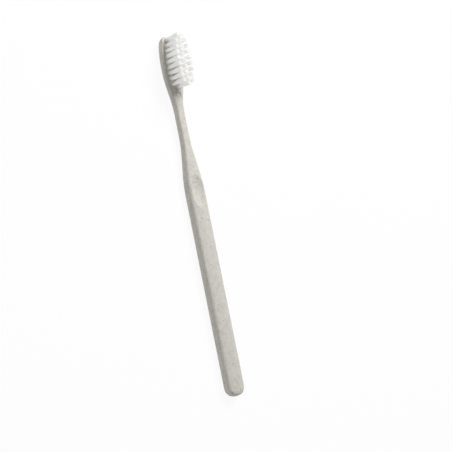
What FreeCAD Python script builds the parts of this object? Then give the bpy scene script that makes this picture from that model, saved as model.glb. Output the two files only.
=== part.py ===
import FreeCAD, Part
import os
from collections import namedtuple

import Sketcher

# A manual toothbrush lying on its back. Millimetres.
# X runs along the brush with the head at +X, Z is up through the bristles, and the brush is the
# same on both sides of Y = 0. The back of the handle rests on Z = 0. The origin is half way along.

SIZES = [
    # Lengths along the brush, from the butt to the tip of the head
    ("handle_length", 106.5),
    ("shoulder_length", 30),
    ("neck_length", 13.5),
    ("head_taper_length", 21),
    ("head_nose_length", 19),
    # Handle section
    ("handle_width", 10.7),
    ("handle_thickness", 6.6),
    ("handle_front_corner", 1.7),
    ("handle_back_corner", 2.4),
    ("handle_crown", 18),
    ("butt_round", 2.4),
    ("rest_land_depth", 0.1),
    # Neck section
    ("neck_width", 5.0),
    ("neck_thickness", 4.5),
    ("neck_rise", 1.2),
    ("neck_front_corner", 1.2),
    ("neck_back_corner", 1.8),
    # Head section
    ("head_width", 12.0),
    ("head_thickness", 3.5),
    ("head_rise", 2.3),
    ("head_front_corner", 0.7),
    ("head_back_corner", 1.4),
    ("head_crown", 40),
    ("head_squareness", 2.6),
    ("head_tip_round", 1.5),
    ("face_skim", 0.25),
    # Thumb rest
    ("thumb_rest_lap", 8.1),
    ("thumb_rest_length", 18.5),
    ("thumb_rest_width", 8.0),
    ("thumb_rest_depth", 1.3),
    # Mould mark on the front, below the bristles
    ("mould_mark_gap", 4.05),
    ("mould_mark_diameter", 3.4),
    ("mould_mark_depth", 0.4),
    # Tufts
    ("tuft_tip_margin", 2.35),
    ("tuft_row_pitch", 2.95),
    ("tuft_stagger", 1.5),
    ("tuft_edge_inset", 2.45),
    ("tuft_hole_diameter", 1.6),
    ("tuft_hole_depth", 2.5),
    ("tuft_hole_web", 0.6),
    ("tuft_height", 10.9),
    ("tuft_tip_diameter", 2.0),
    ("tuft_tip_round", 0.25),
    ("tuft_fold_round", 0.4),
    ("tuft_spread", 0.03),
    # Anchors that hold the tufts
    ("anchor_width", 2.1),
    ("anchor_height", 1.2),
    ("anchor_thickness", 0.25),
    ("anchor_floor_gap", 0.5),
    ("fit_clearance", 0.02),
]

TUFT_ROWS = 9

doc = FreeCAD.newDocument("toothbrush")
sheet = doc.addObject("Spreadsheet::Sheet", "Sizes")
for row, (alias, value) in enumerate(SIZES, start=1):
    sheet.set(f"A{row}", alias)
    sheet.set(f"B{row}", str(value))
    sheet.setAlias(f"B{row}", alias)
doc.recompute()

OVERALL = (
    "(Sizes.handle_length + Sizes.shoulder_length + Sizes.neck_length"
    " + Sizes.head_taper_length + Sizes.head_nose_length)"
)
NECK_START = "(Sizes.handle_length + Sizes.shoulder_length)"
NECK_END = f"({NECK_START} + Sizes.neck_length)"
FACE = "(Sizes.head_rise + Sizes.head_thickness)"
ANCHOR_BASE = f"({FACE} - Sizes.tuft_hole_depth + Sizes.anchor_floor_gap)"


def bind(thing, **expressions):
    """Tie properties of an object to the sheet; double underscores stand for dots."""
    for name, expression in expressions.items():
        thing.setExpression(name.replace("__", "."), expression)


def number(expression):
    """The present value of an expression."""
    return float(sheet.evalExpression(expression))


def sketch_on(body, name, role, **offsets):
    """A sketch on one of the body's own origin planes, moved by bound offsets."""
    sketch = body.newObject("Sketcher::SketchObject", name)
    plane = next(p for p in body.Origin.OriginFeatures if p.Role == role)
    sketch.AttachmentSupport = [(plane, "")]
    sketch.MapMode = "FlatFace"
    bind(sketch, **{f"AttachmentOffset__Base__{axis}": text for axis, text in offsets.items()})
    return sketch


def constrain(sketch, name, expression, kind, *where):
    """A dimension whose value follows the sheet."""
    index = sketch.addConstraint(Sketcher.Constraint(kind, *where, number(expression)))
    sketch.renameConstraint(index, name)
    bind(sketch, **{f"Constraints__{name}": expression})


def add_circle(sketch, diameter):
    """A circle round the sketch's own origin."""
    radius = number(diameter) / 2
    circle = sketch.addGeometry(Part.Circle(FreeCAD.Vector(), FreeCAD.Vector(0, 0, 1), radius))
    sketch.addConstraint(Sketcher.Constraint("Coincident", circle, 3, -1, 1))
    constrain(sketch, "diameter", diameter, "Diameter", circle)


def add_rectangle(sketch, left, right, low, high):
    """A rectangle given by how far it reaches to each side of the sketch's own origin."""
    x0, x1, y0, y1 = -number(left), number(right), -number(low), number(high)
    corners = [FreeCAD.Vector(x, y) for x, y in ((x0, y0), (x1, y0), (x1, y1), (x0, y1))]
    for start, end in zip(corners, corners[1:] + corners[:1]):
        sketch.addGeometry(Part.LineSegment(start, end))
    for side in range(4):
        sketch.addConstraint(Sketcher.Constraint("Coincident", side, 2, (side + 1) % 4, 1))
        direction = "Vertical" if side % 2 else "Horizontal"
        sketch.addConstraint(Sketcher.Constraint(direction, side))
    constrain(sketch, "reach_left", left, "DistanceX", 0, 1, -1, 1)
    constrain(sketch, "reach_right", right, "DistanceX", -1, 1, 1, 1)
    constrain(sketch, "reach_low", low, "DistanceY", 0, 1, -1, 1)
    constrain(sketch, "reach_high", high, "DistanceY", -1, 1, 2, 1)


# Sections along the handle

Section = namedtuple("Section", "half_width front back front_corner back_corner crown")

GRIP = Section(
    "(Sizes.handle_width / 2)", "Sizes.handle_thickness", "(-Sizes.rest_land_depth)",
    "Sizes.handle_front_corner", "Sizes.handle_back_corner", "Sizes.handle_crown",
)
NECK = Section(
    "(Sizes.neck_width / 2)", "(Sizes.neck_rise + Sizes.neck_thickness)", "Sizes.neck_rise",
    "Sizes.neck_front_corner", "Sizes.neck_back_corner", "Sizes.handle_crown",
)
HEAD = Section(
    "(Sizes.head_width / 2)", f"({FACE} + Sizes.face_skim)", "Sizes.head_rise",
    "Sizes.head_front_corner", "Sizes.head_back_corner", "Sizes.head_crown",
)

# The most that roundings may take: an end's edge from the half thickness, and a corner from the
# whole thickness and from the half width
EDGE_LIMIT = 0.9
CORNER_THICKNESS_LIMIT = 0.4
CORNER_WIDTH_LIMIT = 0.8

# Stations close to an end are given by an angle round it, the others by a share of their stretch
BUTT_ANGLES = (12, 24, 40, 62, 78, 90)
TIP_ANGLES = (62, 42, 26, 13, 5)
GRIP_SHARES = (0.015, 0.04, 0.09, 0.18, 0.34, 0.55, 0.75, 0.88, 0.95, 1)
SHOULDER_SHARES = (0.15, 0.32, 0.5, 0.68, 0.85, 1)
NECK_SHARES = (0.5, 1)
TAPER_SHARES = (0.18, 0.36, 0.54, 0.72, 0.88, 1)

BUTT_LENGTH = f"(Sizes.handle_width / 2 * cos({BUTT_ANGLES[0]}))"


def between(first, last, share):
    """A section part of the way from one to another, with an even start and finish."""
    eased = f"({share} ^ 2 * (3 - 2 * {share}))"
    return Section(*(f"({a} + ({b} - {a}) * {eased})" for a, b in zip(first, last)))


def rounded_end(section, width_share, from_end, edge_round):
    """A section near an end: narrower by a share, and thinner by the rounding of the end's edge."""
    middle = f"({section.front} + {section.back}) / 2"
    half = f"({section.front} - {section.back}) / 2"
    edge = f"min({edge_round}; {EDGE_LIMIT} * {half})"
    thin = f"({half} - {edge} + sqrt({edge} ^ 2 - max({edge} - {from_end}; 0) ^ 2))"
    return section._replace(
        half_width=f"({section.half_width} * {width_share})",
        front=f"({middle} + {thin})",
        back=f"({middle} - {thin})",
    )


def butt_stations():
    """Half circle in plan, with a small flat left at the very end."""
    for angle in BUTT_ANGLES:
        at = f"({BUTT_LENGTH} - Sizes.handle_width / 2 * cos({angle}))"
        yield at, rounded_end(GRIP, f"sin({angle})", at, "Sizes.butt_round")


def head_tip_stations():
    """Squared-off half oval in plan, with a small flat left at the very end."""
    power = "(2 / Sizes.head_squareness)"
    for angle in TIP_ANGLES:
        reach = f"(cos({angle}) / cos({TIP_ANGLES[-1]})) ^ {power}"
        from_end = f"(Sizes.head_nose_length * (1 - {reach}))"
        yield f"({OVERALL} - {from_end})", rounded_end(
            HEAD, f"sin({angle}) ^ {power}", from_end, "Sizes.head_tip_round")


def stations():
    """Every section of the handle and its place, from the butt to the tip of the head."""
    yield from butt_stations()
    for share in GRIP_SHARES:
        yield f"({BUTT_LENGTH} + (Sizes.handle_length - {BUTT_LENGTH}) * {share})", GRIP
    for share in SHOULDER_SHARES:
        yield f"(Sizes.handle_length + Sizes.shoulder_length * {share})", between(GRIP, NECK, share)
    for share in NECK_SHARES:
        yield f"({NECK_START} + Sizes.neck_length * {share})", NECK
    for share in TAPER_SHARES:
        yield f"({NECK_END} + Sizes.head_taper_length * {share})", between(NECK, HEAD, share)
    yield from head_tip_stations()


def add_section(body, name, at, section):
    """Closed outline: crowned front and back, upright sides, four rounded corners."""
    half_width, front, back, full_front_corner, full_back_corner, crown = section
    front_corner, back_corner = (
        f"min({full}; {CORNER_THICKNESS_LIMIT} * ({front} - {back}); {CORNER_WIDTH_LIMIT} * {half_width})"
        for full in (full_front_corner, full_back_corner)
    )
    side, top, bottom, large = [number(text) for text in (half_width, front, back, crown)]
    sketch = sketch_on(body, name, "YZ_Plane", z=at)

    point = FreeCAD.Vector

    def corner_points(small, tip, way):
        """Where a corner meets the crown, its own middle and where it meets the side, at +Y."""
        inner = side - small
        centre = tip - way * large
        rise = way * ((large - small) ** 2 - inner ** 2) ** 0.5
        stretch = large / (large - small)
        slant = small / 2 ** 0.5
        return (
            point(inner * stretch, centre + rise * stretch),
            point(inner + slant, centre + rise + way * slant),
            point(side, centre + rise),
        )

    def mirrored(points):
        return [point(-p.x, p.y) for p in points]

    touch, bend, up = corner_points(number(front_corner), top, 1)
    back_touch, back_bend, down = corner_points(number(back_corner), bottom, -1)
    left_touch, left_bend, left_up = mirrored((touch, bend, up))
    left_back_touch, left_back_bend, left_down = mirrored((back_touch, back_bend, down))
    sketch.addGeometry([
        Part.Arc(touch, point(0, top), left_touch),
        Part.Arc(left_touch, left_bend, left_up),
        Part.LineSegment(left_up, left_down),
        Part.Arc(left_down, left_back_bend, left_back_touch),
        Part.Arc(left_back_touch, point(0, bottom), back_touch),
        Part.Arc(back_touch, back_bend, down),
        Part.LineSegment(down, up),
        Part.Arc(up, bend, touch),
    ])
    front_arc, left_side, back_arc, right_side = 0, 2, 4, 6

    # Each piece of the outline runs on smoothly into the next. Arcs keep their start at the end
    # reached first when going round anticlockwise, as this outline does.
    for index in range(8):
        sketch.addConstraint(Sketcher.Constraint("Tangent", index, 2, (index + 1) % 8, 1))
    for index in (left_side, right_side):
        sketch.addConstraint(Sketcher.Constraint("Vertical", index))
    for index in (front_arc, back_arc):
        sketch.addConstraint(Sketcher.Constraint("PointOnObject", index, 3, -2))
    constrain(sketch, "left", half_width, "DistanceX", left_side, 1, -1, 1)
    constrain(sketch, "right", half_width, "DistanceX", -1, 1, right_side, 1)
    constrain(sketch, "front_centre", f"{crown} - {front}", "DistanceY", front_arc, 3, -1, 1)
    constrain(sketch, "back_centre", f"{back} + {crown}", "DistanceY", -1, 1, back_arc, 3)
    for index, label in ((front_arc, "front_crown"), (back_arc, "back_crown")):
        constrain(sketch, label, crown, "Radius", index)
    for index, corner in ((1, front_corner), (3, back_corner), (5, back_corner), (7, front_corner)):
        constrain(sketch, f"corner_{index}", corner, "Radius", index)
    return sketch


# Handle, neck and head in one moulding

moulding = doc.addObject("PartDesign::Body", "Moulding")
sections = [add_section(moulding, f"Section{index}", *station) for index, station in enumerate(stations(), 1)]
loft = moulding.newObject("PartDesign::AdditiveLoft", "Outside")
loft.Profile = sections[0]
loft.Sections = sections[1:]


def pocket(name, sketch, upward=False, length=None):
    """Cut away what lies below a flat sketch (or above it), to a bound length or all the way."""
    cut = moulding.newObject("PartDesign::Pocket", name)
    cut.Profile = sketch
    cut.Reversed = upward
    if length is None:
        cut.Type = "ThroughAll"
    else:
        bind(cut, Length=length)


# Flat land along the back that the brush rests on
land = sketch_on(moulding, "RestLandOutline", "XY_Plane")
add_rectangle(land, "Sizes.butt_round", OVERALL, "Sizes.handle_width", "Sizes.handle_width")
pocket("RestLand", land)

# Flat face for the tufts
face = sketch_on(moulding, "TuftFaceOutline", "XY_Plane", x=NECK_END, z=FACE)
add_rectangle(face, "0", OVERALL, "Sizes.head_width", "Sizes.head_width")
pocket("TuftFace", face, upward=True)


def taper_section(from_tip):
    """The section where the head narrows to the neck, at a distance back from the tip."""
    share = f"(1 - ({from_tip} - Sizes.head_nose_length) / Sizes.head_taper_length)"
    return between(NECK, HEAD, share)


# Where the tufts stand: distance back from the tip of the head, and out from the centre line

def outer_from_tip(row):
    return f"(Sizes.tuft_tip_margin + {row} * Sizes.tuft_row_pitch)"


def middle_from_tip(row):
    return f"({outer_from_tip(row)} + Sizes.tuft_stagger)"


def outer_across(row):
    """The outer tufts follow the outline of the head, one inset inside it."""
    from_tip = outer_from_tip(row)
    ahead = f"(1 - {from_tip} / Sizes.head_nose_length)"
    squareness = "Sizes.head_squareness"
    nose = f"(Sizes.head_width / 2 * (1 - max({ahead}; 0) ^ {squareness}) ^ (1 / {squareness}))"
    outline = f"({ahead} > 0 ? {nose} : {taper_section(from_tip).half_width})"
    closest = "(Sizes.tuft_hole_diameter + Sizes.tuft_hole_web) / 2"
    return f"max({outline} - Sizes.tuft_edge_inset; {closest})"


Tuft = namedtuple("Tuft", "label along across from_centre")
MIDDLE_OF_FIELD = outer_from_tip((TUFT_ROWS - 1) / 2)


def tuft_places():
    for row in range(TUFT_ROWS):
        outer, middle = outer_from_tip(row), middle_from_tip(row)
        for side, sign in (("left", ""), ("right", "-")):
            across = f"{sign}{outer_across(row)}"
            yield Tuft(f"tuft_{side}_{row + 1}", f"{OVERALL} / 2 - {outer}", across,
                       f"({MIDDLE_OF_FIELD} - {outer})")
        yield Tuft(f"tuft_middle_{row + 1}", f"{OVERALL} / 2 - {middle}", "0",
                   f"({MIDDLE_OF_FIELD} - {middle})")


tufts = list(tuft_places())

# Blind holes for the tufts
holes = sketch_on(moulding, "TuftHoleOutlines", "XY_Plane", x=f"{OVERALL} / 2", z=FACE)
for place in tufts:
    centre = FreeCAD.Vector(number(place.along), number(place.across))
    hole = holes.addGeometry(
        Part.Circle(centre, FreeCAD.Vector(0, 0, 1), number("Sizes.tuft_hole_diameter / 2")))
    constrain(holes, f"{place.label}_along", place.along, "DistanceX", -1, 1, hole, 3)
    constrain(holes, f"{place.label}_across", place.across, "DistanceY", -1, 1, hole, 3)
    constrain(holes, f"{place.label}_hole", "Sizes.tuft_hole_diameter", "Diameter", hole)
pocket("TuftHoles", holes, length="Sizes.tuft_hole_depth")

# Round mould mark on the front where the head narrows to the neck
mark_from_tip = f"({middle_from_tip(TUFT_ROWS - 1)} + Sizes.mould_mark_gap)"
mark_front = f"min({taper_section(mark_from_tip).front}; {FACE})"
mark = sketch_on(moulding, "MouldMarkOutline", "XY_Plane", x=f"{OVERALL} - {mark_from_tip}",
                 z=f"{mark_front} - Sizes.mould_mark_depth")
add_circle(mark, "Sizes.mould_mark_diameter")
pocket("MouldMark", mark, upward=True)

# Thumb rest: a shallow dish, curved along and across, turned about a line across the brush. It
# laps back a little over the grip.
# The limits keep its two curves apart and its outline short of a half circle.
LEAST_RISE = 0.2
ACROSS_LIMIT = 0.9
CHORD_LIMIT = 0.95
DISH_TURN = 60

dish_depth = "Sizes.thumb_rest_depth"
along_radius = f"(((Sizes.thumb_rest_length / 2) ^ 2 + {dish_depth} ^ 2) / (2 * {dish_depth}))"
half_dish = "(Sizes.thumb_rest_width / 2)"
crown_drop = f"(Sizes.handle_crown - sqrt(Sizes.handle_crown ^ 2 - {half_dish} ^ 2))"
across_rise = f"max({dish_depth} - {crown_drop}; {LEAST_RISE} * {dish_depth})"
dish_arc = f"({half_dish} ^ 2 + ({across_rise}) ^ 2) / (2 * ({across_rise}))"
across_radius = f"min({dish_arc}; {ACROSS_LIMIT} * {along_radius})"
dish_middle = "Sizes.handle_length - Sizes.thumb_rest_lap + Sizes.thumb_rest_length / 2"
dish_outline = sketch_on(moulding, "ThumbRestOutline", "YZ_Plane", z=dish_middle,
                         y=f"Sizes.handle_thickness - {dish_depth} + {along_radius}")
half_chord = f"min(Sizes.thumb_rest_width; {CHORD_LIMIT} * {across_radius})"
chord_up = f"({across_radius} - sqrt(({across_radius}) ^ 2 - ({half_chord}) ^ 2))"
low = -number(along_radius)
reach = number(half_chord)
high = low + number(chord_up)
dish_outline.addGeometry(Part.Arc(
    FreeCAD.Vector(-reach, high), FreeCAD.Vector(0, low), FreeCAD.Vector(reach, high)))
dish_outline.addGeometry(Part.LineSegment(FreeCAD.Vector(reach, high), FreeCAD.Vector(-reach, high)))
for end in (1, 2):
    dish_outline.addConstraint(Sketcher.Constraint("Coincident", 0, end, 1, end % 2 + 1))
dish_outline.addConstraint(Sketcher.Constraint("Horizontal", 1))
dish_outline.addConstraint(Sketcher.Constraint("PointOnObject", 0, 3, -2))
constrain(dish_outline, "across", across_radius, "Radius", 0)
constrain(dish_outline, "drop", f"{along_radius} - ({across_radius})", "DistanceY", 0, 3, -1, 1)
constrain(dish_outline, "chord", f"2 * ({half_chord})", "DistanceX", 1, 2, 1, 1)
dish = moulding.newObject("PartDesign::Groove", "ThumbRest")
dish.Profile = dish_outline
dish.ReferenceAxis = (dish_outline, ["H_Axis"])
dish.Angle = DISH_TURN
dish.Midplane = True
moulding.Tip = dish
bind(moulding, Placement__Base__x=f"-{OVERALL} / 2")


# Anchors and the slits that their ends cut in the moulding

def plate(name, place, clearance, height):
    """A flat plate standing lengthways in a tuft hole, larger all round by a clearance."""
    box = doc.addObject("Part::Box", name)
    bind(
        box,
        Length=f"Sizes.anchor_width + 2 * {clearance}",
        Width=f"Sizes.anchor_thickness + 2 * {clearance}",
        Height=height,
        Placement__Base__x=f"{place.along} - Sizes.anchor_width / 2 - {clearance}",
        Placement__Base__y=f"{place.across} - Sizes.anchor_thickness / 2 - {clearance}",
        Placement__Base__z=f"{ANCHOR_BASE} - {clearance}",
    )
    return box


clear = "Sizes.fit_clearance"
slit_height = f"{FACE} - {ANCHOR_BASE} + 2 * {clear} + Sizes.face_skim"
slits = doc.addObject("Part::Compound", "AnchorSlits")
slits.Links = [plate(f"{place.label}_slit", place, clear, slit_height) for place in tufts]
handle = doc.addObject("Part::Cut", "Handle")
handle.Base = moulding
handle.Tool = slits
handle.Label = "handle"

anchors = doc.addObject("Part::Compound", "Anchors")
anchors.Links = [plate(f"{place.label}_anchor", place, "0", "Sizes.anchor_height") for place in tufts]
anchors.Label = "tuft_anchors"


# Tufts

def make_bundle(place):
    """A bundle from the bottom of its hole up, widening and leaning outwards to a flat trim."""
    body = doc.addObject("PartDesign::Body", place.label)
    body.Label = place.label
    mouth = sketch_on(body, "Mouth", "XY_Plane")
    add_circle(mouth, f"Sizes.tuft_hole_diameter - 2 * {clear}")
    root = body.newObject("PartDesign::Pad", "Root")
    root.Profile = mouth
    root.Reversed = True
    bind(root, Length=f"Sizes.tuft_hole_depth - {clear}")
    trim = sketch_on(body, "Trim", "XY_Plane", z="Sizes.tuft_height",
                     x=f"{place.from_centre} * Sizes.tuft_spread",
                     y=f"{place.across} * Sizes.tuft_spread")
    add_circle(trim, "Sizes.tuft_tip_diameter")
    free = body.newObject("PartDesign::AdditiveLoft", "Free")
    free.Profile = mouth
    free.Sections = [trim]
    bind(body, Placement__Base__x=place.along, Placement__Base__y=place.across, Placement__Base__z=FACE)
    return body


def round_edges(bundles, name, radius, pick):
    """Round the highest or the lowest edge of each bundle."""
    doc.recompute()
    for body in bundles:
        base = body.Tip
        edges = base.Shape.Edges
        chosen = pick(range(len(edges)), key=lambda index: edges[index].CenterOfMass.z)
        fillet = body.newObject("PartDesign::Fillet", name)
        fillet.Base = (base, [f"Edge{chosen + 1}"])
        bind(fillet, Radius=radius)


def cut_window(body):
    """The opening in the fold of a bundle that its anchor passes through."""
    gap = sketch_on(body, "AnchorGap", "YZ_Plane",
                    y=f"Sizes.anchor_floor_gap - Sizes.tuft_hole_depth - {clear}")
    half_gap = f"Sizes.anchor_thickness / 2 + {clear}"
    add_rectangle(gap, half_gap, half_gap, "0", f"Sizes.anchor_height + 2 * {clear}")
    window = body.newObject("PartDesign::Pocket", "Window")
    window.Profile = gap
    window.Type = "ThroughAll"
    window.Midplane = True
    body.Tip = window


bundles = [make_bundle(place) for place in tufts]
round_edges(bundles, "TipRound", "Sizes.tuft_tip_round", max)
round_edges(bundles, "FoldRound", "Sizes.tuft_fold_round", min)
for body in bundles:
    cut_window(body)
pieces = [handle, anchors] + bundles
doc.recompute()

# Check every object, then write one file for each piece

for thing in doc.Objects:
    if "Invalid" in thing.State or "Error" in thing.State:
        raise RuntimeError(f"{thing.Label}: {thing.State}")

os.makedirs("parts", exist_ok=True)
for piece in pieces:
    shape = piece.Shape
    if shape.isNull() or not shape.isValid():
        raise RuntimeError(f"{piece.Label}: shape is null or not valid")
    shape.exportStep(f"parts/{piece.Label}.step")
    print(piece.Label, len(shape.Solids), round(shape.Volume, 3))
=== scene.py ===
import math
from collections import namedtuple

import bpy
import numpy as np
from mathutils import Matrix, Vector


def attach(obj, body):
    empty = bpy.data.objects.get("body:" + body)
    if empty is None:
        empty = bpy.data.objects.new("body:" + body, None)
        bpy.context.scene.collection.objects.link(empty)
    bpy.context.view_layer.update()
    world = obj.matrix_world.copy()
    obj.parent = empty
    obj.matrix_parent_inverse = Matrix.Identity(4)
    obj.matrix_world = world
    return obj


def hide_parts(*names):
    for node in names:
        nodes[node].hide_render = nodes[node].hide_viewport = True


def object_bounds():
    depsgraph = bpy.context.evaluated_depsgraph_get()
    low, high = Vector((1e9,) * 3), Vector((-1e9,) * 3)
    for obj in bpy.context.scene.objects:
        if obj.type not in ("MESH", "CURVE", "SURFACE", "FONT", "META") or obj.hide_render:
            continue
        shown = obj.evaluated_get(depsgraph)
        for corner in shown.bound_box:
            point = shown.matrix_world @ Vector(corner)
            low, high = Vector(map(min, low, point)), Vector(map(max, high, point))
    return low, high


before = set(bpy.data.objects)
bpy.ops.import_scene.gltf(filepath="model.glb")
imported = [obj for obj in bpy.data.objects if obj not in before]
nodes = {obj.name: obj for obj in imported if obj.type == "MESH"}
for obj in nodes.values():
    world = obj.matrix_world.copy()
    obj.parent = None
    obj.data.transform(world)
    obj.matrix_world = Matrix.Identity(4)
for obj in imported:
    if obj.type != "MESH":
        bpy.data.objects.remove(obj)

# A manual toothbrush lying on its back: head at +X, bristles up, resting on Z = 0. Metres.

MM = 0.001
WHITE = (1, 1, 1, 1)
RANDOM_SEED = 11

cad_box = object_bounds()
random = np.random.default_rng(RANDOM_SEED)


def add_object(name, data):
    """An object for a mesh, a lamp or a camera, put in the scene."""
    made = bpy.data.objects.new(name, data)
    bpy.context.scene.collection.objects.link(made)
    return made


# Shader helpers

# Nearly all of a noise texture lies between these values
NOISE_RANGE = (0.3, 0.7)


def add_node(tree, kind, inputs=None, **settings):
    """A shader node whose inputs are given as values or as outputs of other nodes."""
    made = tree.nodes.new("ShaderNode" + kind)
    for name, value in settings.items():
        setattr(made, name, value)
    for name, value in (inputs or {}).items():
        if isinstance(value, bpy.types.NodeSocket):
            tree.links.new(value, made.inputs[name])
        else:
            made.inputs[name].default_value = value
    return made


def math_node(tree, operation, first, second):
    return add_node(tree, "Math", {0: first, 1: second}, operation=operation).outputs[0]


def vector_math(tree, operation, inputs):
    return add_node(tree, "VectorMath", inputs, operation=operation).outputs[0]


def map_range(tree, value, low, high, to_low, to_high, smooth=False):
    """A value carried from one range to another."""
    made = add_node(
        tree, "MapRange",
        {"Value": value, "From Min": low, "From Max": high, "To Min": to_low, "To Max": to_high},
        interpolation_type="SMOOTHSTEP" if smooth else "LINEAR",
    )
    return made.outputs["Result"]


def mix_colour(tree, share, first, second):
    """Sockets 0, 6 and 7 and output 2 are the ones that a mix of colours uses."""
    made = add_node(tree, "Mix", {0: share, 6: first, 7: second}, data_type="RGBA")
    return made.outputs[2]


def noise(tree, place, per_mm, detail):
    """Noise with a number of features to the millimetre."""
    return add_node(tree, "TexNoise", {"Vector": place, "Scale": per_mm, "Detail": detail}).outputs


def stretched(tree, place, scale):
    """A place scaled by its own amount in each direction."""
    return add_node(tree, "Mapping", {"Vector": place, "Scale": scale}).outputs["Vector"]


def new_material(name):
    """A material with a Principled surface, and a place on the object in millimetres."""
    material = bpy.data.materials.new(name)
    material.use_nodes = True
    tree = material.node_tree
    surface = tree.nodes["Principled BSDF"]
    place = add_node(tree, "TexCoord").outputs["Object"]
    return material, tree, surface, stretched(tree, place, (1 / MM,) * 3)


def dress(piece, material):
    piece.data.materials.clear()
    piece.data.materials.append(material)


# Handle: matt moulded plastic filled with ground straw

BASE_LIGHT = (0.625, 0.603, 0.555, 1)
BASE_DARK = (0.575, 0.553, 0.505, 1)
MOTTLE_PER_MM = 0.35
MOTTLE_RANGE = (0.35, 0.65)

SPECK_BROWN = (0.14, 0.118, 0.095, 1)
SPECK_GREY = (0.22, 0.205, 0.185, 1)
# Smallest speck and soft edge as shares of the radius of the largest
SMALLEST_SPECK = 0.45
SOFT_EDGE = 0.35
# The outlines of specks wander by up to about half of this many millimetres each way
WANDER_PER_MM = 1.6
WANDER_REACH = 0.5
NOISE_MIDDLE = (0.5, 0.5, 0.5)

GRAIN_PER_MM = 5.0
RELIEF_DEPTH = 0.05 * MM
RELIEF_STRENGTH = 0.12
SPECK_RELIEF = 0.5
EASED_EDGE = 0.35 * MM
EASED_EDGE_SAMPLES = 8
HANDLE_ROUGHNESS = (0.50, 0.62)
HANDLE_SPECULAR = 0.35

# A kind of speck: cells to the millimetre, radius in millimetres, share of the cells that have one,
# squeeze in each direction (less than 1 draws it out), turn about Z, colour and strength
Speck = namedtuple("Speck", "per_mm radius kept squeeze turn tint strength")
ROUND = (1, 1, 1)
FINE = Speck(1.7, 0.16, 0.75, ROUND, 0, SPECK_GREY, 0.9)
GRAINS = Speck(0.9, 0.28, 0.6, ROUND, 0, SPECK_BROWN, 0.95)
FIBRES = Speck(0.8, 0.22, 0.25, (0.4, 1, 1), 0.5, SPECK_BROWN, 0.85)
CROSSING_FIBRES = Speck(0.8, 0.22, 0.25, (1, 0.4, 1), 0.3, SPECK_GREY, 0.85)


def speck_mask(tree, place, kind):
    """Mask of scattered spots: one spot to a cell, with a share of the cells kept."""
    laid = add_node(tree, "Mapping", {
        "Vector": place, "Scale": kind.squeeze, "Rotation": (0, 0, kind.turn),
    })
    cells = add_node(tree, "TexVoronoi", {"Vector": laid.outputs["Vector"], "Scale": kind.per_mm}).outputs
    chance = add_node(tree, "SeparateColor", {"Color": cells["Color"]}).outputs
    largest = kind.radius * kind.per_mm
    size = map_range(tree, chance["Green"], 0, 1, SMALLEST_SPECK * largest, largest)
    nearness = math_node(tree, "SUBTRACT", size, cells["Distance"])
    spot = map_range(tree, nearness, 0, SOFT_EDGE * largest, 0, 1, smooth=True)
    keep = math_node(tree, "LESS_THAN", chance["Red"], kind.kept)
    return math_node(tree, "MULTIPLY", spot, keep)


def wandering(tree, place):
    """A place moved about a little, which makes the outlines of specks ragged."""
    wander = noise(tree, place, WANDER_PER_MM, detail=2.0)
    aside = vector_math(tree, "SUBTRACT", {0: wander["Color"], 1: NOISE_MIDDLE})
    aside = vector_math(tree, "SCALE", {0: aside, "Scale": WANDER_REACH})
    return vector_math(tree, "ADD", {0: place, 1: aside})


def handle_plastic():
    material, tree, surface, place = new_material("handle_plastic")
    mottle = noise(tree, place, MOTTLE_PER_MM, detail=4.0)
    cloud = map_range(tree, mottle["Fac"], *MOTTLE_RANGE, 0, 1, smooth=True)
    colour = mix_colour(tree, cloud, BASE_DARK, BASE_LIGHT)
    ragged = wandering(tree, place)
    masks = {kind: speck_mask(tree, ragged, kind) for kind in (FINE, GRAINS, FIBRES, CROSSING_FIBRES)}
    for kind, mask in masks.items():
        colour = mix_colour(tree, math_node(tree, "MULTIPLY", mask, kind.strength), colour, kind.tint)
    tree.links.new(colour, surface.inputs["Base Color"])

    grain = noise(tree, place, GRAIN_PER_MM, detail=6.0)["Fac"]
    rough = map_range(tree, grain, *NOISE_RANGE, *HANDLE_ROUGHNESS)
    tree.links.new(rough, surface.inputs["Roughness"])
    sunk = math_node(tree, "MULTIPLY", masks[GRAINS], SPECK_RELIEF)
    eased = add_node(tree, "Bevel", {"Radius": EASED_EDGE}, samples=EASED_EDGE_SAMPLES)
    bump = add_node(tree, "Bump", {
        "Height": math_node(tree, "SUBTRACT", grain, sunk),
        "Strength": RELIEF_STRENGTH,
        "Distance": RELIEF_DEPTH,
        "Normal": eased.outputs["Normal"],
    })
    tree.links.new(bump.outputs["Normal"], surface.inputs["Normal"])
    surface.inputs["Specular IOR Level"].default_value = HANDLE_SPECULAR
    return material


# Bristles: bundles of nylon filaments, each with a rounded end

FILAMENTS = 78
FILAMENT_RADIUS = 0.095 * MM
FILAMENT_SIDES = 7
GOLDEN_ANGLE = math.radians(137.508)
DEPTH_IN_HOLE = 0.7 * MM
TRIM_MARGIN = FILAMENT_RADIUS * 0.5
TIP_FLARE = 1.15
TIP_SCATTER = 0.10 * MM
BOW = 0.10 * MM
LENGTH_SCATTER = 0.07 * MM
STRAY_SHARE = 0.04
STRAY_LEAN = 0.35 * MM
SLICE = 0.05 * MM
# The face that the tufts stand on is the highest place on the part of the head near its tip
HEAD_REACH = 20 * MM
handle_points = np.array([vertex.co for vertex in nodes["handle"].data.vertices])
FACE_HEIGHT = handle_points[handle_points[:, 0] > cad_box[1][0] - HEAD_REACH, 2].max()
# Rings of a filament: share of the free length up from the face, then the rounded end as
# (distance below the very tip, share of the radius) in filament radii
RINGS_UP = (0.0, 0.2, 0.4, 0.6, 0.8)
ROUNDED_END = ((1.0, 1.0), (0.5, 0.87), (0.13, 0.5))


def slice_of(points, height):
    """Middle and half width of a tuft's solid at a height."""
    level = points[np.abs(points[:, 2] - height) < SLICE]
    low, high = level.min(axis=0), level.max(axis=0)
    return (low + high)[:2] / 2, (high - low)[1] / 2


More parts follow.
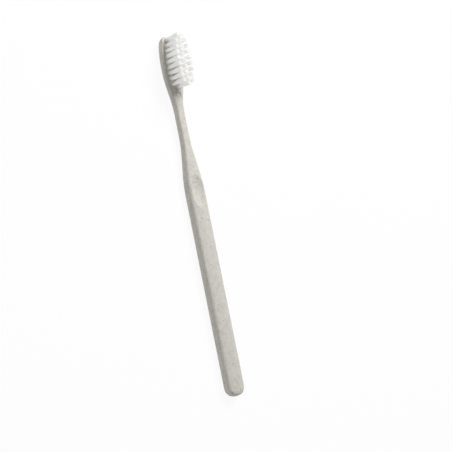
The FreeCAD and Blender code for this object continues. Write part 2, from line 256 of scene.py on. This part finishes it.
def filament_lines(node):
    """Centre lines of a tuft's filaments as an array of filament, ring and point."""
    points = np.array([vertex.co for vertex in nodes[node].data.vertices])
    trim = points[:, 2].max()
    root, root_reach = slice_of(points, FACE_HEIGHT)
    tip, _ = slice_of(points, trim)
    tip_reach = np.ptp(points[:, 1]) / 2

    # The filaments fill the bundle evenly, on a spiral like the seeds of a sunflower
    order = np.arange(FILAMENTS)
    turn = order * GOLDEN_ANGLE + random.uniform(0, math.tau)
    out = np.sqrt((order + 0.5) / FILAMENTS)
    spread = np.stack([np.cos(turn), np.sin(turn)], axis=1) * out[:, None]
    start = root + spread * (root_reach - FILAMENT_RADIUS)
    end = tip + spread * (tip_reach * TIP_FLARE - FILAMENT_RADIUS)
    end += random.normal(0, TIP_SCATTER, end.shape)
    strays = random.random(FILAMENTS) < STRAY_SHARE
    end += strays[:, None] * random.normal(0, STRAY_LEAN, end.shape)
    bow = random.normal(0, BOW, end.shape)
    tips = trim - TRIM_MARGIN + np.clip(random.normal(0, LENGTH_SCATTER, FILAMENTS), None, 0)

    # Each filament goes straight from root to tip, with a bow that is widest half way up
    free = tips - FACE_HEIGHT
    heights = [np.full(FILAMENTS, FACE_HEIGHT - DEPTH_IN_HOLE)]
    heights += [FACE_HEIGHT + free * share for share in RINGS_UP]
    heights += [tips - below * FILAMENT_RADIUS for below, _ in ROUNDED_END]
    heights = np.stack(heights, axis=1)
    share = np.clip((heights - FACE_HEIGHT) / free[:, None], 0, 1)[..., None]
    flat = start[:, None] + (end - start)[:, None] * share + bow[:, None] * 4 * share * (1 - share)
    return np.concatenate([flat, heights[..., None]], axis=2)


def make_tuft(node, material):
    """One closed tube for each filament of a tuft."""
    lines = filament_lines(node)
    count, rings, _ = lines.shape
    radii = np.full(rings, FILAMENT_RADIUS)
    radii[-len(ROUNDED_END):] = [FILAMENT_RADIUS * share for _, share in ROUNDED_END]
    around = np.arange(FILAMENT_SIDES) * math.tau / FILAMENT_SIDES
    circle = np.stack([np.cos(around), np.sin(around), np.zeros(FILAMENT_SIDES)], axis=1)
    vertices = lines[:, :, None, :] + radii[None, :, None, None] * circle

    index = np.arange(count * rings * FILAMENT_SIDES).reshape(count, rings, FILAMENT_SIDES)
    ahead = np.roll(index, -1, axis=2)
    sides = np.stack([index[:, :-1], ahead[:, :-1], ahead[:, 1:], index[:, 1:]], axis=-1)
    faces = sides.reshape(-1, 4).tolist()
    faces += index[:, 0, ::-1].tolist()
    faces += index[:, -1].tolist()

    mesh = bpy.data.meshes.new(node + "_bristles")
    mesh.from_pydata(vertices.reshape(-1, 3).tolist(), [], faces)
    mesh.polygons.foreach_set("use_smooth", [True] * len(mesh.polygons))
    piece = add_object(node + "_bristles", mesh)
    dress(piece, material)
    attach(piece, "root")
    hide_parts(node)


NYLON_DULL = (0.86, 0.858, 0.846, 1)
NYLON_BRIGHT = (0.91, 0.908, 0.90, 1)
NYLON_ROOT_PAINTED_SHADE = (0.62, 0.61, 0.58, 1)
NYLON_ROUGHNESS = (0.28, 0.42)
NYLON_IOR = 1.53
# Streaks to the millimetre, drawn out along the filaments
NYLON_STREAKS = (9.0, 9.0, 0.6)
# Heights above the face are in millimetres
# Painted shade: the nylon is darkened towards the root, where the tufts shade the face and each other
PAINTED_ROOT_SHADE = 0.3
PAINTED_ROOT_SHADE_HEIGHT = 3.0
# Nylon carries light down from the tips and between filaments: a faint painted glow, weakest at the root,
# stands for what it passes on
PAINTED_GLOW_ROOT = 0.01
PAINTED_GLOW_TIP = 0.128
PAINTED_GLOW_HEIGHT = 4.5


def bristle_nylon():
    material, tree, surface, place = new_material("bristle_nylon")
    each = add_node(tree, "NewGeometry").outputs["Random Per Island"]
    tone = mix_colour(tree, each, NYLON_DULL, NYLON_BRIGHT)
    height = add_node(tree, "SeparateXYZ", {"Vector": place}).outputs["Z"]
    base = FACE_HEIGHT / MM
    # Painted shade, darkest at the root and gone a few millimetres up
    painted_root_shade = map_range(tree, height, base, base + PAINTED_ROOT_SHADE_HEIGHT, PAINTED_ROOT_SHADE, 0, smooth=True)
    shade = mix_colour(tree, painted_root_shade, tone, NYLON_ROOT_PAINTED_SHADE)
    tree.links.new(shade, surface.inputs["Base Color"])
    streaks = noise(tree, stretched(tree, place, NYLON_STREAKS), per_mm=1.0, detail=3.0)
    rough = map_range(tree, streaks["Fac"], *NOISE_RANGE, *NYLON_ROUGHNESS)
    tree.links.new(rough, surface.inputs["Roughness"])
    surface.inputs["IOR"].default_value = NYLON_IOR
    # Painted light: the bristles glow faintly, though they are no lamp
    surface.inputs["Emission Color"].default_value = NYLON_BRIGHT
    painted_glow = map_range(tree, height, base, base + PAINTED_GLOW_HEIGHT, PAINTED_GLOW_ROOT, PAINTED_GLOW_TIP)
    tree.links.new(painted_glow, surface.inputs["Emission Strength"])
    return material


# Anchors: stamped brass strip, mostly hidden in the holes

BRASS_DULL = (0.70, 0.54, 0.29, 1)
BRASS_BRIGHT = (0.82, 0.67, 0.42, 1)
BRASS_ROUGHNESS = (0.25, 0.45)
# Rolling lines to the millimetre, drawn out along the strip
BRASS_LINES = (1.5, 12.0, 12.0)


def anchor_metal():
    material, tree, surface, place = new_material("anchor_metal")
    lines = noise(tree, stretched(tree, place, BRASS_LINES), per_mm=1.0, detail=5.0)["Fac"]
    tree.links.new(mix_colour(tree, lines, BRASS_DULL, BRASS_BRIGHT), surface.inputs["Base Color"])
    rough = map_range(tree, lines, *NOISE_RANGE, *BRASS_ROUGHNESS)
    tree.links.new(rough, surface.inputs["Roughness"])
    surface.inputs["Metallic"].default_value = 1.0
    return material


# Floor, lights and camera

FLOOR_SIDE = 4.0
FLOOR_DROP = 0.02 * MM
FLOOR_BOUNCE = (0.45, 0.45, 0.445, 1)
FLOOR_GLOW = 0.5
FLOOR_WHITE = (0.92, 0.92, 0.92, 1)
SHADOW_SHARE = 0.08
# Strength at which a glow shows as plain white
SHOWN_WHITE = 1.0
FAR_SKY = 0.68
NEAR_SKY = 0.2
TOP_SKY = 0.12
SIDE_FADE = (-0.6, 0.5)
TOP_FADE = (0.15, 0.65)
LAMP_DISTANCE = 0.9
LAMP_SIDE = 0.5
# The key stands beyond the head and to the far side, a weak fill high on the near side
KEY_FROM = Vector((0.58, -0.30, 0.76))
KEY_LEVEL = 1.06
FILL_FROM = Vector((-0.1, 0.45, 0.88))
FILL_LEVEL = 0.12
# Light passes many times between the filaments before it comes out
LIGHT_BOUNCES = 24


def seen_directly(tree):
    """1 for rays that show a surface as it is: straight to the camera, by reflection or through glass."""
    path = add_node(tree, "LightPath").outputs
    direct = math_node(tree, "MAXIMUM", path["Is Camera Ray"], path["Is Glossy Ray"])
    return math_node(tree, "MAXIMUM", direct, path["Is Transmission Ray"])


def floor_material():
    """White with a faint shadow where it is seen; the light it gives back is that of a pale, lit sheet."""
    material = bpy.data.materials.new("floor")
    material.use_nodes = True
    tree = material.node_tree
    tree.nodes.clear()
    glow = add_node(tree, "Emission", {"Color": WHITE, "Strength": SHOWN_WHITE})
    shaded = add_node(tree, "BsdfDiffuse", {"Color": FLOOR_WHITE})
    sheet = add_node(tree, "BsdfDiffuse", {"Color": FLOOR_BOUNCE})
    panel = add_node(tree, "Emission", {"Color": WHITE, "Strength": FLOOR_GLOW})
    bounce = add_node(tree, "AddShader", {0: sheet.outputs[0], 1: panel.outputs[0]})
    shown = add_node(tree, "MixShader", {0: SHADOW_SHARE, 1: glow.outputs[0], 2: shaded.outputs[0]})
    whole = add_node(tree, "MixShader", {0: seen_directly(tree), 1: bounce.outputs[0], 2: shown.outputs[0]})
    add_node(tree, "OutputMaterial", {"Surface": whole.outputs[0]})
    return material


def add_floor():
    """A pale floor, lit from below as a light table is."""
    half = FLOOR_SIDE / 2
    mesh = bpy.data.meshes.new("floor")
    corners = [(x, y, -FLOOR_DROP) for x, y in ((-half, -half), (half, -half), (half, half), (-half, half))]
    mesh.from_pydata(corners, [], [(0, 1, 2, 3)])
    floor = add_object("floor", mesh)
    dress(floor, floor_material())


def add_world():
    """Soft light, strongest low on the far side and weaker to the near side and overhead; seen as white."""
    world = bpy.data.worlds.new("studio")
    bpy.context.scene.world = world
    world.use_nodes = True
    tree = world.node_tree
    tree.nodes.clear()
    toward = add_node(tree, "TexCoord").outputs["Generated"]
    parts = add_node(tree, "SeparateXYZ", {"Vector": toward}).outputs
    around = map_range(tree, parts["Y"], *SIDE_FADE, FAR_SKY, NEAR_SKY)
    level = map_range(tree, parts["Z"], *TOP_FADE, around, TOP_SKY)
    strength = map_range(tree, seen_directly(tree), 0, 1, level, SHOWN_WHITE)
    sky = add_node(tree, "Background", {"Color": WHITE, "Strength": strength})
    add_node(tree, "OutputWorld", {"Surface": sky.outputs[0]})


def add_lamp(name, direction, level):
    """A large soft square lamp that lights a surface facing it to the given level."""
    data = bpy.data.lights.new(name, "AREA")
    data.shape = "SQUARE"
    data.size = LAMP_SIDE
    data.energy = level * (math.pi * LAMP_DISTANCE) ** 2
    lamp = add_object(name, data)
    lamp.location = direction.normalized() * LAMP_DISTANCE
    lamp.rotation_mode = "QUATERNION"
    lamp.rotation_quaternion = direction.to_track_quat("Z", "Y")


CAMERA_AT = Vector((-0.06262, 0.44557, 0.53953))
CAMERA_AIM = Vector((-0.00712, -0.01916, 0))
CAMERA_UP = Vector((0.9773, -0.1002, 0.1869))
CAMERA_LENS = 107.63
CAMERA_SENSOR = 36


def add_camera():
    """A long lens from above the near side, rolled so that the brush stands up and leans left."""
    data = bpy.data.cameras.new("camera")
    data.lens = CAMERA_LENS
    data.sensor_width = CAMERA_SENSOR
    camera = add_object("camera", data)
    back = (CAMERA_AT - CAMERA_AIM).normalized()
    right = CAMERA_UP.cross(back).normalized()
    turn = Matrix((right, back.cross(right), back)).transposed().to_4x4()
    camera.matrix_world = Matrix.Translation(CAMERA_AT) @ turn
    bpy.context.scene.camera = camera


# Put it together

dress(nodes["handle"], handle_plastic())
dress(nodes["tuft_anchors"], anchor_metal())
nylon = bristle_nylon()
for name in sorted(nodes):
    if name.startswith("tuft_") and name != "tuft_anchors":
        make_tuft(name, nylon)

add_floor()
add_world()
add_lamp("key", KEY_FROM, KEY_LEVEL)
add_lamp("fill", FILL_FROM, FILL_LEVEL)
add_camera()
bpy.context.scene.view_settings.view_transform = "Standard"
bpy.context.scene.cycles.max_bounces = LIGHT_BOUNCES
bpy.context.scene.cycles.diffuse_bounces = LIGHT_BOUNCES
